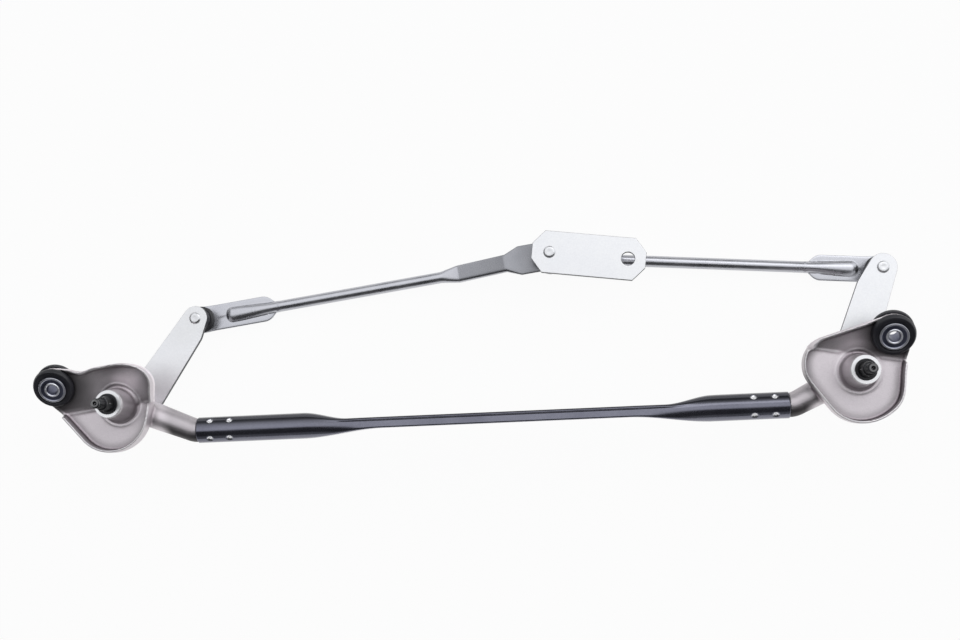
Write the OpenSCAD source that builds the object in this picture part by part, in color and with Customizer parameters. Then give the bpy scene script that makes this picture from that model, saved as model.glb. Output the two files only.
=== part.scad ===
// Wiper linkage: two pivot housings on a tube frame, two spindles with cranks,
// two pull rods and the motor crank that drives them.
// Origin on the left spindle axis at the foot of its arm thread, in millimetres.
// X runs to the right spindle, Z runs along both spindles towards their threads.

/* [Layout] */
// distance between the two wiper spindles
spindle_pitch = 590; // [560:1:620]
// left crank, spindle axis to ball
left_crank_r = 88; // [80:0.5:96]
// left crank direction at rest, from the spindle line
left_crank_angle = 55.3; // [50:0.1:60]
// right crank, spindle axis to ball
right_crank_r = 91.5; // [84:0.5:98]
// right crank direction at rest, from the spindle line
right_crank_angle = 68.2; // [62:0.1:74]
// drive stud from the left spindle, along the spindle line
drive_stud_x = 355.3; // [340:0.1:370]
// drive stud above the spindle line
drive_stud_y = 110; // [100:0.1:120]
// motor crank, drive stud to motor shaft
motor_crank_r = 64.3; // [56:0.1:72]
// motor crank direction at rest
motor_crank_angle = -8.3; // [-20:0.1:5]

/* [Spindles and bearings] */
// spindle diameter in the bushes
spindle_d = 12; // [10:0.5:14]
// arm thread diameter
thread_d = 8; // [6:1:10]
// arm thread length
thread_len = 12; // [8:0.5:16]
// length of the serrated arm seat
seat_len = 10.5; // [8:0.5:14]
// seat diameter at its foot
seat_d = 12.6; // [12:0.1:14]
// seat diameter at the thread
seat_top_d = 10.6; // [9:0.1:11]
// wall of the bearing bushes
bush_wall = 2.5; // [1.5:0.1:3]
// length of each bush
bush_len = 14; // [10:0.5:20]
// depth of the seal pocket above the upper bush
seal_pocket = 4; // [3:0.5:6]
// section of the spindle seal ring
seal_d = 2.3; // [1.8:0.1:2.4]
// thickness of the top thrust washer
top_washer_t = 1.2; // [0.8:0.1:2]
// outer diameter of the top thrust washer
top_washer_d = 22; // [20:0.5:23]
// thickness of the retaining ring
clip_t = 1.2; // [1:0.1:1.6]
// outer diameter of the retaining ring
clip_d = 16.6; // [15:0.1:18]
// depth of the retaining ring groove
clip_groove = 0.5; // [0.3:0.1:0.8]
// thickness of the lower thrust washer
low_washer_t = 0.8; // [0.5:0.1:1.5]
// thickness of the spindle shoulder on the crank
shoulder_t = 1; // [0.8:0.1:2]
// diameter of the spindle shoulder
shoulder_d = 20; // [18:0.5:22]
// diameter of the spindle end riveted in the crank
tenon_d = 10; // [9:0.5:11]
// height of the riveted spindle end
rivet_h = 2.2; // [1.5:0.1:3]

/* [Cranks] */
// thickness of the spindle cranks and of the motor crank
crank_t = 4; // [3:0.5:5]
// round end of a crank at the spindle
crank_hub_r = 16; // [14:0.5:18]
// shoulder of the left crank as distance, side offset and radius
left_crank_shoulder = [74, -3, 11.3]; // [-20:0.1:90]
// round end of the left crank at its ball
left_crank_tip_r = 10.4; // [9:0.1:12]
// shoulder of the right crank as distance, side offset and radius
right_crank_shoulder = [72, 1.6, 13.9]; // [-20:0.1:90]
// round end of the right crank at its ball
right_crank_tip_r = 11.3; // [9:0.1:12]
// length of the motor crank past each hole
motor_crank_end = 14.5; // [12:0.5:18]
// width of the motor crank
motor_crank_w = 35; // [30:0.5:40]
// corner cut of the motor crank, along and across
motor_crank_cut = [9.6, 11]; // [4:0.1:14]
// diameter of the motor shaft hole
motor_shaft_d = 11; // [9:0.5:12]

/* [Ball joints] */
// ball diameter
ball_d = 13; // [11:0.5:15]
// neck diameter above a ball
neck_d = 8; // [7:0.5:9]
// neck diameter between the two drive balls
mid_neck_d = 7; // [6:0.5:8]
// diameter of the stud collar under the crank
collar_d = 13; // [11:0.5:15]
// thickness of the stud collar
collar_t = 2.5; // [1.5:0.1:4]
// diameter of the riveted stud head
stud_head_d = 10; // [9:0.5:12]
// height of the riveted stud head
stud_head_h = 1.4; // [1:0.1:2.5]
// wall of a ball socket
socket_wall = 2.7; // [2:0.1:4]
// overhang of the socket flange on the link paddle
socket_flange = 2.3; // [1.5:0.1:3.5]
// thickness of the socket flange
socket_flange_t = 2; // [1.5:0.1:3]
// height of a socket rim above its ball centre
socket_rim = 4.8; // [4:0.1:6]
// free space between the two sockets on the drive stud
stack_gap = 1.9; // [1:0.1:3]
// side play of the open drive ball in its cup
open_play = 2.8; // [2.6:0.1:3.2]

/* [Pull rods] */
// rod diameter
rod_d = 9.6; // [8:0.1:11]
// thickness of the pressed paddles
paddle_t = 3; // [2.5:0.1:4]
// half width of a paddle
paddle_r = 11.5; // [10.5:0.1:13]
// half width of the paddle under the open cup
cup_paddle_r = 14; // [13:0.5:16]
// full width length of the left outer paddle
left_paddle_len = 55; // [45:1:62]
// full width length of the right paddles
right_paddle_len = 46; // [38:1:52]
// length over which a paddle narrows to the rod
paddle_taper = 10; // [9:1:20]
// start of the rod bead on the left outer paddle
left_bead = 22; // [20:1:30]
// start of the rod bead on the right paddles
right_bead = 16; // [15:0.5:24]
// half width of the bead on a paddle
bead_r = 6.9; // [5:0.1:8]
// length of the raised inner end of the left rod
step_len = 95; // [85:1:105]
// half width of the inner paddle of the left rod
inner_paddle_r = 12.2; // [11:0.1:13]
// full width length of the inner paddle of the left rod
inner_paddle_len = 27; // [24:1:32]
// half width of the pressed part of the left rod
step_r = 6.4; // [5.5:0.1:8]

/* [Frame tube] */
// tube outer diameter
tube_od = 21; // [19:0.5:23]
// tube wall
tube_wall = 2; // [1.5:0.1:2.5]
// tube axis below the spindle line
tube_y = -23.5; // [-30:0.5:-20]
// tube axis under the housing web
tube_under_web = 12; // [11:0.5:16]
// left spindle to the tube end
tube_left_reach = 61.5; // [56:0.5:70]
// right spindle to the tube end
tube_right_reach = 52.5; // [48:0.5:60]
// round part at the left end
tube_left_round = 93; // [70:1:110]
// round part at the right end
tube_right_round = 64; // [50:1:80]
// length of each change from round to flat
tube_change = 53; // [40:1:70]
// thickness of the flattened middle
tube_flat_t = 8.8; // [8:0.1:12]
// first and second staking row from the tube end
stake_rows = [11.3, 27.6]; // [8:0.1:34]
// diameter of a staking mark at its floor
stake_d = 3.4; // [2.5:0.1:5]
// depth of a staking mark
stake_depth = 1.3; // [0.8:0.1:1.6]

/* [Housings] */
// thread foot to the housing web
web_drop = 40; // [36:0.5:46]
// web thickness
web_t = 3; // [2.5:0.1:4]
// rim height above the web
rim_h = 9.5; // [7:0.5:12]
// rim height that is left at the ear
lip_h = 1; // [0.5:0.1:3]
// rim wall
rim_wall = 2.2; // [1.8:0.1:4]
// boss height above the web
boss_h = 26; // [22:0.5:30]
// boss diameter at the top
boss_top_d = 22.8; // [21:0.1:25]
// boss diameter at the web
boss_base_d = 27; // [25:0.1:30]
// boss length under the web
boss_low = 38; // [34:0.5:42]
// boss diameter at the lower end
boss_low_d = 25; // [23:0.1:28]
// foot fillet of the boss
boss_foot = 2.4; // [1:0.1:4]
// left tray bowl as centre and radius
left_bowl = [-5.8, -7.5, 31.4]; // [-60:0.5:60]
// left tray shoulder as centre and radius
left_shoulder = [14.7, 18.2, 16.1]; // [-60:0.5:60]
// left ear in the unfolded sheet
left_ear = [-51.3, 19.3]; // [-60:0.1:60]
// point on the left crease line
left_crease = [0, -1]; // [-20:0.5:20]
// direction of the left crease line
left_crease_angle = 6.6; // [0:0.1:12]
// right tray bowl as centre and radius
right_bowl = [0.3, -10.4, 30]; // [-60:0.5:60]
// right tray corner as centre and radius
right_corner = [-19.3, 5.7, 23.2]; // [-60:0.5:60]
// right ear in the unfolded sheet
right_ear = [26.5, 29.3]; // [-60:0.1:60]
// point on the right crease line
right_crease = [0, 13.1]; // [-20:0.1:20]
// direction of the right crease line
right_crease_angle = -10.5; // [-15:0.1:0]
// where the left rim starts and ends its run down to the ear, along the crease
left_run = [22, -33]; // [-60:1:60]
// where the right rim starts and ends its run down to the ear, along the crease
right_run = [-36, 8]; // [-60:1:60]
// tilt of the folded upper part
fold = 28; // [10:1:36]
// ear radius
ear_r = 15.5; // [14:0.1:17]
// ear thickness
ear_t = 4.5; // [4:0.1:6]
// bend radius of the arm to the tube
arm_bend_r = 16; // [14:0.5:20]
// arm diameter at the housing boss
arm_root_d = 23; // [21:0.5:25]
// spigot length inside the tube
spigot_len = 38; // [34:1:46]
// thickness of the stiffening ribs
rib_t = 3; // [2.5:0.1:4]

/* [Fixings] */
// grommet flange diameter at the ear
grommet_d = 33.4; // [31:0.2:36]
// diameter of the grommet's front face
grommet_face_d = 30; // [27:0.5:31]
// thickness of the front grommet flange
grommet_flange = 4.5; // [3.5:0.1:6]
// thickness of the back grommet flange
grommet_back = 4; // [3:0.1:6]
// grommet diameter in the ear
grommet_waist_d = 22; // [19:0.5:24]
// outer diameter of the fixing sleeve
sleeve_od = 13; // [12:0.5:14]
// bore of the fixing sleeve
sleeve_bore = 8.5; // [8:0.1:9]
// sleeve flange diameter
sleeve_flange_d = 22; // [20:0.5:26]
// sleeve flange thickness
sleeve_flange_t = 1.6; // [1.2:0.1:2.5]
// depth of the dish in the sleeve flange
sleeve_dish = 0.7; // [0.3:0.1:1]

/* [Clearances] */
// running gap of spindle and bush, and of ball and socket
running_gap = 0.05; // [0.03:0.01:0.08]
// gap of pressed and riveted pieces
press_gap = 0.03; // [0.02:0.01:0.05]
// end play of the spindle at each washer face
end_play = 0.15; // [0.1:0.05:0.3]

/* [Hidden] */
$fn = 72;
arc_step = 6;
web_z = -web_drop;
boss_top_z = web_z + boss_h;
boss_low_z = web_z - boss_low;
clip_z = boss_top_z + top_washer_t + 2 * end_play;
crank_top_z = boss_low_z - low_washer_t - 2 * end_play - shoulder_t;
crank_low_z = crank_top_z - crank_t;
ball_r = ball_d / 2;
cavity_r = ball_r + running_gap;
cup_r = cavity_r + socket_wall;
hole_r = cup_r + 0.2;
ball_z = crank_low_z - collar_t - ball_r;
paddle_drop = 5;
shoulder_r = 3;
rod_lap = 2.5;
step_cone = 15;
step_lift = 1.5;
step_thick = [4.4, 3.4];
inner_flare = 11;
paddle_z = ball_z - paddle_drop - paddle_t;
rod_z = paddle_z + paddle_t / 2;
socket_low = paddle_drop + paddle_t + 1.4;
stack = socket_low + stack_gap + socket_rim;
upper_ball_z = ball_z + stack;
upper_paddle_z = upper_ball_z - paddle_drop - paddle_t;
upper_rod_z = upper_paddle_z + paddle_t / 2;
plate_low_z = upper_ball_z + ball_r + collar_t;
plate_top_z = plate_low_z + crank_t;
open_r = ball_r + open_play;
bore_r = spindle_d / 2 + running_gap + bush_wall + press_gap;
tube_z = web_z - tube_under_web;
tube_r = tube_od / 2;
tube_bore_r = tube_r - tube_wall;
arm_r = tube_r - 0.8;
flat_w = PI * (tube_r - tube_flat_t / 2) + tube_flat_t;
left_ball = left_crank_r * [cos(left_crank_angle), sin(left_crank_angle)];
right_ball = [spindle_pitch, 0] + right_crank_r * [cos(right_crank_angle), sin(right_crank_angle)];
drive_stud = [drive_stud_x, drive_stud_y];
left_link_len = norm(drive_stud - left_ball);
right_link_len = norm(drive_stud - right_ball);
left_link_angle = atan2(drive_stud.y - left_ball.y, drive_stud.x - left_ball.x);
right_link_angle = atan2(drive_stud.y - right_ball.y, drive_stud.x - right_ball.x);
left_rim = [left_bowl, left_shoulder, [left_ear.x, left_ear.y, ear_r]];
right_rim = [right_bowl, [right_ear.x, right_ear.y, ear_r], right_corner];

// direction of the outer tangent's normal from circle a to circle b
function tangent_normal(a, b) =
    atan2(b.y - a.y, b.x - a.x) - acos((a[2] - b[2]) / norm([b.x - a.x, b.y - a.y]));
function turn(from, to) = (to - from + 720) % 360;
function arc(c, from, to) =
    let (n = max(1, ceil(turn(from, to) / arc_step)))
    [for (i = [0:n]) [
        c.x + c[2] * cos(from + turn(from, to) * i / n),
        c.y + c[2] * sin(from + turn(from, to) * i / n)]];
// outline of a band drawn round circles that are listed anticlockwise
function belt(c) =
    let (n = len(c))
    [for (i = [0:n - 1]) each arc(c[i],
        tangent_normal(c[(i + n - 1) % n], c[i]),
        tangent_normal(c[i], c[(i + 1) % n]))];
function inset(c, by) = [for (k = c) [k.x, k.y, k[2] - by]];
// turn of the arm that leads from the tube end straight to the spindle axis
function arm_turn(reach) =
    asin(arm_bend_r / norm([reach, tube_y + arm_bend_r])) - atan2(tube_y + arm_bend_r, reach);

module at_right() {
    translate([spindle_pitch, 0, 0])
        children();
}

// moves the sheet above a crease line into its folded place
module folded(crease, angle) {
    translate([crease.x, crease.y, web_z])
        rotate([0, 0, angle])
            rotate([fold, 0, 0])
                rotate([0, 0, -angle])
                    translate([-crease.x, -crease.y, 0])
                        children();
}

module on_ear(ear, crease, angle) {
    folded(crease, angle)
        translate([ear.x, ear.y, 0])
            children();
}

// all space on one side of a crease, with the side face leaned by half the fold
module half_space(crease, angle, lean, side) {
    translate([crease.x, crease.y, 0])
        rotate([0, 0, angle])
            rotate([lean, 0, 0])
                translate([-150, side > 0 ? -0.1 : -299.9, -150])
                    cube([300, 300, 300]);
}

// flat tray, web top at height zero
module tray(rim) {
    difference() {
        translate([0, 0, -web_t])
            linear_extrude(web_t + rim_h)
                polygon(belt(rim));
        linear_extrude(rim_h + 1)
            polygon(belt(inset(rim, rim_wall)));
    }
}

// what is cut off the rim so that it runs down to the ear
module rim_run(crease, angle, run) {
    past = run[1] < run[0] ? -150 : 150;
    translate([crease.x, crease.y, 0])
        rotate([90, 0, angle])
            translate([0, 0, -150])
                linear_extrude(300)
                    polygon([
                        [run[0], rim_h],
                        [run[1], lip_h],
                        [past, lip_h],
                        [past, rim_h + 5],
                        [run[0], rim_h + 5]]);
}

module folded_tray(rim, crease, angle, run) {
    translate([0, 0, web_z])
        intersection() {
            tray(rim);
            half_space(crease, angle, fold / 2, -1);
        }
    folded(crease, angle)
        difference() {
            intersection() {
                tray(rim);
                half_space(crease, angle, -fold / 2, 1);
            }
            rim_run(crease, angle, run);
        }
}

// arm from the spindle boss to the tube, with the spigot inside the tube
module arm(reach) {
    bend = arm_turn(reach);
    bend_x = reach - arm_bend_r * sin(bend);
    bend_y = tube_y + arm_bend_r * (1 - cos(bend));
    translate([0, 0, tube_z]) {
        translate([reach - 2, tube_y, 0])
            rotate([0, 90, 0])
                cylinder(r = tube_bore_r - press_gap, h = spigot_len + 2);
        translate([reach, tube_y + arm_bend_r, 0])
            rotate([0, 0, -90 - bend])
                rotate_extrude(angle = bend)
                    translate([arm_bend_r, 0])
                        circle(arm_r);
        translate([bend_x, bend_y, 0])
            rotate([0, -90, -bend])
                translate([0, 0, -1])
                    cylinder(r1 = arm_r - 0.1, r2 = arm_root_d / 2, h = norm([bend_x, bend_y]) + 1);
    }
}

// spindle boss through the web
module boss() {
    rotate_extrude()
        polygon([
            [0, boss_low_z],
            [boss_low_d / 2 - 0.8, boss_low_z],
            [boss_low_d / 2, boss_low_z + 0.8],
            [boss_base_d / 2, web_z - web_t],
            [boss_base_d / 2 + boss_foot, web_z - 1],
            [boss_base_d / 2 + boss_foot, web_z],
            [boss_base_d / 2 + boss_foot * 0.35, web_z + boss_foot * 0.35],
            [boss_base_d / 2 - boss_foot * 0.08, web_z + boss_foot],
            [boss_top_d / 2, boss_top_z - 0.6],
            [boss_top_d / 2 - 0.6, boss_top_z],
            [0, boss_top_z]]);
}

// upright rib under the web, from the boss outwards
module rib(direction, reach) {
    rotate([0, 0, direction])
        rotate([90, 0, 0])
            translate([0, 0, -rib_t / 2])
                linear_extrude(rib_t)
                    polygon([
                        [bore_r + 1, web_z - web_t / 2],
                        [reach, web_z - web_t / 2],
                        [reach, web_z - web_t - 3],
                        [boss_low_d / 2 + 3, boss_low_z + 14],
                        [bore_r + 1, boss_low_z + 10]]);
}

module pivot_housing(rim, ear, crease, angle, run, reach, arm_side, ribs, rib_reach) {
    difference() {
        union() {
            folded_tray(rim, crease, angle, run);
            boss();
            children();
            mirror([arm_side < 0 ? 1 : 0, 0, 0])
                arm(reach);
            for (a = ribs)
                rib(a, rib_reach);
            on_ear(ear, crease, angle)
                translate([0, 0, -ear_t])
                    cylinder(r = ear_r - 0.1, h = ear_t - 0.1);
        }
        translate([0, 0, boss_low_z - 1])
            cylinder(r = bore_r, h = boss_h + boss_low + 2);
        on_ear(ear, crease, angle) {
            translate([0, 0, -ear_t - 10])
                cylinder(d = grommet_waist_d, h = ear_t + 20);
            cylinder(d = grommet_d + 2, h = rim_h + 4);
        }
    }
}

module left_housing() {
    color("DarkGray")
        pivot_housing(left_rim, left_ear, left_crease, left_crease_angle, left_run,
            tube_left_reach, 1, [-62, -106, -148], left_bowl[2] - 8)
            folded(left_crease, left_crease_angle)
                intersection() {
                    translate([0, 0, -0.5])
                        cylinder(d1 = boss_base_d + 2 * boss_foot + 3, d2 = boss_base_d, h = boss_foot + 1);
                    half_space(left_crease, left_crease_angle, -fold / 2, 1);
                }
}

module right_housing() {
    color("DarkGray")
        at_right()
            pivot_housing(right_rim, right_ear, right_crease, right_crease_angle, right_run,
                tube_right_reach, -1, [-28, -74, -118], right_bowl[2] - 8);
}

// long hole section of the flattened tube, thin across Y
module flat_section(t, w) {
    polygon(belt([[-(w - t) / 2, 0, t / 2], [(w - t) / 2, 0, t / 2]]));
}

// tube shape along X from the left end, shrunk by a wall for the inside
module tube_shape(by) {
    len = spindle_pitch - tube_left_reach - tube_right_reach;
    r = tube_r - by;
    flat_from = tube_left_round + tube_change;
    flat_to = len - tube_right_round - tube_change;
    rotate([0, 90, 0]) {
        translate([0, 0, by > 0 ? -1 : 0])
            cylinder(r = r, h = tube_left_round + (by > 0 ? 1 : 0));
        translate([0, 0, len - tube_right_round])
            cylinder(r = r, h = tube_right_round + (by > 0 ? 1 : 0));
        translate([0, 0, flat_from])
            linear_extrude(flat_to - flat_from)
                flat_section(tube_flat_t - 2 * by, flat_w - 2 * by);
        for (run = [[tube_left_round, flat_from], [len - tube_right_round, flat_to]])
            hull() {
                translate([0, 0, run[0] - 0.5])
                    cylinder(r = r - 0.04, h = 1, $fn = 48);
                translate([0, 0, run[1] - 0.5])
                    linear_extrude(1)
                        flat_section(tube_flat_t - 2 * by - 0.08, flat_w - 2 * by - 0.08);
            }
    }
}

// staking marks round one tube end, rows counted along X
module stakes(rows) {
    for (x = rows, a = [45:90:315])
        translate([x, 0, 0])
            rotate([a, 0, 0])
                translate([0, 0, tube_r - stake_depth])
                    cylinder(d1 = stake_d, d2 = stake_d + 4, h = stake_depth + 1.2);
}

module frame_tube() {
    color("DimGray")
        translate([tube_left_reach, tube_y, tube_z])
            difference() {
                tube_shape(0);
                tube_shape(tube_wall);
                stakes(stake_rows);
                translate([spindle_pitch - tube_left_reach - tube_right_reach, 0, 0])
                    stakes(-stake_rows);
            }
}

// bearing bush with its lower face at height zero
module bush() {
    difference() {
        cylinder(r = bore_r - press_gap, h = bush_len);
        translate([0, 0, -1])
            cylinder(d = spindle_d + 2 * running_gap, h = bush_len + 2);
    }
}

module upper_bush() {
    translate([0, 0, boss_top_z - seal_pocket - bush_len])
        bush();
}

module lower_bush() {
    translate([0, 0, boss_low_z])
        bush();
}

module left_upper_bush() {
    color("Peru")
        upper_bush();
}

module left_lower_bush() {
    color("Peru")
        lower_bush();
}

module right_upper_bush() {
    color("Peru")
        at_right()
            upper_bush();
}

module right_lower_bush() {
    color("Peru")
        at_right()
            lower_bush();
}

// spindle seal ring resting on the upper bush
module seal() {
    translate([0, 0, boss_top_z - seal_pocket + seal_d / 2])
        rotate_extrude()
            translate([(spindle_d / 2 + bore_r) / 2, 0])
                circle(d = seal_d);
}

module left_seal() {
    color("Black")
        seal();
}

module right_seal() {
    color("Black")
        at_right()
            seal();
}

// rubber grommet, ear front face at height zero
module grommet() {
    rotate_extrude()
        polygon([
            [sleeve_od / 2, -ear_t - grommet_back],
            [grommet_d / 2 - 1.5, -ear_t - grommet_back],
            [grommet_d / 2, -ear_t - grommet_back + 1.5],
            [grommet_d / 2, -ear_t - 0.6],
            [grommet_d / 2 - 0.6, -ear_t],
            [grommet_waist_d / 2 - press_gap, -ear_t],
            [grommet_waist_d / 2 - press_gap, 0],
            [grommet_d / 2 - 0.6, 0],
            [grommet_d / 2, 0.6],
            [grommet_d / 2, grommet_flange - 2.6],
            [grommet_face_d / 2 + 0.6, grommet_flange - 0.6],
            [grommet_face_d / 2, grommet_flange],
            [sleeve_od / 2, grommet_flange]]);
}

module left_grommet() {
    color("Black")
        on_ear(left_ear, left_crease, left_crease_angle)
            grommet();
}

module right_grommet() {
    color("Black")
        at_right()
            on_ear(right_ear, right_crease, right_crease_angle)
                grommet();
}

// flanged fixing sleeve, ear front face at height zero
module sleeve() {
    low = -ear_t - grommet_back - 0.5;
    top = grommet_flange + sleeve_flange_t;
    rotate_extrude()
        polygon([
            [sleeve_bore / 2, low],
            [sleeve_od / 2 - press_gap, low],
            [sleeve_od / 2 - press_gap, grommet_flange],
            [sleeve_flange_d / 2, grommet_flange],
            [sleeve_flange_d / 2, top - 0.5],
            [sleeve_flange_d / 2 - 0.5, top],
            [sleeve_flange_d / 2 - 1.3, top],
            [sleeve_flange_d / 2 - 2.2, top - sleeve_dish],
            [sleeve_bore / 2 + 2, top - sleeve_dish],
            [sleeve_bore / 2 + 1.5, top],
            [sleeve_bore / 2 + 1, top],
            [sleeve_bore / 2, top - 1]]);
}

module left_sleeve() {
    color("SlateGray")
        on_ear(left_ear, left_crease, left_crease_angle)
            sleeve();
}

module right_sleeve() {
    color("SlateGray")
        at_right()
            on_ear(right_ear, right_crease, right_crease_angle)
                sleeve();
}

// spindle from the riveted end in the crank to the arm thread
module spindle() {
    r = spindle_d / 2;
    rotate_extrude()
        polygon([
            [0, crank_low_z - rivet_h],
            [tenon_d / 2 + 1, crank_low_z - rivet_h],
            [tenon_d / 2 + 2.5, crank_low_z - rivet_h * 0.6],
            [tenon_d / 2 + 2.5, crank_low_z],
            [tenon_d / 2, crank_low_z],
            [tenon_d / 2, crank_top_z],
            [shoulder_d / 2, crank_top_z],
            [shoulder_d / 2, crank_top_z + shoulder_t],
            [r, crank_top_z + shoulder_t],
            [r, clip_z],
            [r - clip_groove, clip_z],
            [r - clip_groove, clip_z + clip_t + 0.1],
            [r, clip_z + clip_t + 0.1],
            [r, -seat_len - 0.3],
            [seat_d / 2, -seat_len],
            [seat_top_d / 2, 0],
            [thread_d / 2, 0],
            [thread_d / 2, thread_len - 0.9],
            [thread_d / 2 - 0.9, thread_len],
            [0, thread_len]]);
}

module left_spindle() {
    color("DarkSlateGray")
        spindle();
}

module right_spindle() {
    color("DarkSlateGray")
        at_right()
            spindle();
}

// crank plate along X from the spindle axis, lower face at height zero
module crank_plate(outline, reach) {
    difference() {
        linear_extrude(crank_t)
            polygon(belt(outline));
        translate([0, 0, -1])
            cylinder(d = tenon_d + 2 * press_gap, h = crank_t + 2);
        translate([reach, 0, -1])
            cylinder(d = neck_d + 2 * press_gap, h = crank_t + 2);
    }
}

module left_crank() {
    color("Gainsboro")
        rotate([0, 0, left_crank_angle])
            translate([0, 0, crank_low_z])
                crank_plate([[0, 0, crank_hub_r], left_crank_shoulder,
                    [left_crank_r, 0, left_crank_tip_r]], left_crank_r);
}

module right_crank() {
    color("Gainsboro")
        at_right()
            rotate([0, 0, right_crank_angle])
                translate([0, 0, crank_low_z])
                    crank_plate([[0, 0, crank_hub_r], [right_crank_r, 0, right_crank_tip_r],
                        right_crank_shoulder], right_crank_r);
}

// riveted stud through a crank, ball centre at height zero
module stud() {
    low = ball_r + collar_t;
    sphere(ball_r);
    cylinder(d = neck_d, h = low + crank_t + stud_head_h - 0.4);
    translate([0, 0, ball_r - 0.4])
        cylinder(d = collar_d, h = collar_t + 0.4);
    translate([0, 0, low + crank_t])
        cylinder(d1 = stud_head_d, d2 = stud_head_d - 2 * stud_head_h, h = stud_head_h);
}

module left_crank_stud() {
    color("Silver")
        translate([left_ball.x, left_ball.y, ball_z])
            stud();
}

module right_crank_stud() {
    color("Silver")
        translate([right_ball.x, right_ball.y, ball_z])
            stud();
}

// plain ring with its lower face at height zero
module washer(outer, inner, t) {
    difference() {
        cylinder(d = outer, h = t);
        translate([0, 0, -1])
            cylinder(d = inner, h = t + 2);
    }
}

module top_washer() {
    translate([0, 0, boss_top_z + end_play])
        washer(top_washer_d, spindle_d + 2 * running_gap, top_washer_t);
}

module low_washer() {
    translate([0, 0, boss_low_z - end_play - low_washer_t])
        washer(shoulder_d, spindle_d + 2 * running_gap, low_washer_t);
}

// open retaining ring in the spindle groove, with its gap in a given direction
module clip(gap_at) {
    translate([0, 0, clip_z + 0.05])
        rotate([0, 0, gap_at])
            difference() {
                washer(clip_d, spindle_d - 2 * clip_groove + 2 * running_gap, clip_t);
                translate([0, -2.5, -1])
                    cube([clip_d, 5, clip_t + 2]);
            }
}

module left_top_washer() {
    color("WhiteSmoke")
        top_washer();
}

module right_top_washer() {
    color("WhiteSmoke")
        at_right()
            top_washer();
}

module left_clip() {
    color("Black")
        clip(180);
}

module right_clip() {
    color("Black")
        at_right()
            clip(0);
}

module left_low_washer() {
    color("WhiteSmoke")
        low_washer();
}

module right_low_washer() {
    color("WhiteSmoke")
        at_right()
            low_washer();
}

// ball socket clipped through a paddle, ball centre at height zero
module socket(through) {
    difference() {
        rotate_extrude()
            polygon([
                [0, -socket_low],
                [hole_r + 0.3, -socket_low],
                [hole_r + 0.9, -socket_low + 0.6],
                [hole_r + 0.9, -paddle_drop - paddle_t],
                [cup_r, -paddle_drop - paddle_t],
                [cup_r, -paddle_drop],
                [cup_r + socket_flange, -paddle_drop],
                [cup_r + socket_flange, -paddle_drop + socket_flange_t],
                [cup_r, -paddle_drop + socket_flange_t + 0.6],
                [cup_r - 0.4, socket_rim - 1],
                [cup_r - 1.2, socket_rim],
                [0, socket_rim]]);
        sphere(cavity_r);
        translate([0, 0, ball_r * 0.55])
            cylinder(r1 = cavity_r * 0.82, r2 = cavity_r * 0.95, h = socket_rim);
        if (through)
            translate([0, 0, -socket_low - 1])
                cylinder(d = mid_neck_d + 2.2, h = socket_low);
    }
}

// deep cup of the open drive pivot, ball centre at height zero
module open_cup() {
    floor_z = -open_r - 2.4;
    rotate_extrude()
        polygon(concat(
            [[0, floor_z],
            [hole_r + 0.3, floor_z],
            [hole_r + 0.9, floor_z + 0.6],
            [hole_r + 0.9, -paddle_drop - paddle_t],
            [cup_r, -paddle_drop - paddle_t],
            [cup_r, -paddle_drop],
            [open_r + 2.6, -paddle_drop],
            [open_r + 2.6, socket_rim - 0.8],
            [open_r + 1.8, socket_rim],
            [open_r, socket_rim]],
            [for (a = [0:-arc_step:-90]) [open_r * cos(a), open_r * sin(a)]]));
}

module left_outer_socket() {
    color("Black")
        translate([left_ball.x, left_ball.y, ball_z])
            socket(false);
}

module right_outer_socket() {
    color("Black")
        translate([right_ball.x, right_ball.y, ball_z])
            socket(false);
}

module left_inner_socket() {
    color("Black")
        translate([drive_stud.x, drive_stud.y, upper_ball_z])
            socket(true);
}

module right_inner_socket() {
    color("Black")
        translate([drive_stud.x, drive_stud.y, ball_z])
            open_cup();
}

// thin round slice across the rod at a distance and height, half width and half height given
module slice(at, z, half_w, half_h) {
    translate([at, 0, z])
        rotate([0, 90, 0])
            scale([half_h, half_w, 1])
                cylinder(r = 1, h = 0.4, center = true, $fn = 32);
}

// flat paddle round a socket hole, narrowing to the rod
module paddle(r, full, hole) {
    neck = [full + paddle_taper, 0, rod_d / 2 - 0.5];
    wide = [full, 0, paddle_r - 0.5];
    difference() {
        linear_extrude(paddle_t)
            polygon(belt([[0, 0, r], wide, neck, wide]));
        translate([0, 0, -1])
            cylinder(r = hole, h = paddle_t + 2);
    }
}

// half round bead that carries the rod over its paddle
module bead(from, to) {
    hull() {
        slice(from + 0.2, 0, bead_r * 0.45, 2.2);
        slice(from + 1.4, 0, bead_r * 0.78, 3.1);
        slice(from + 4, 0, bead_r, 3.9);
        slice(to + 0.6, 0, rod_d / 2 - 0.05, rod_d / 2 - 0.05);
    }
}

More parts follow.
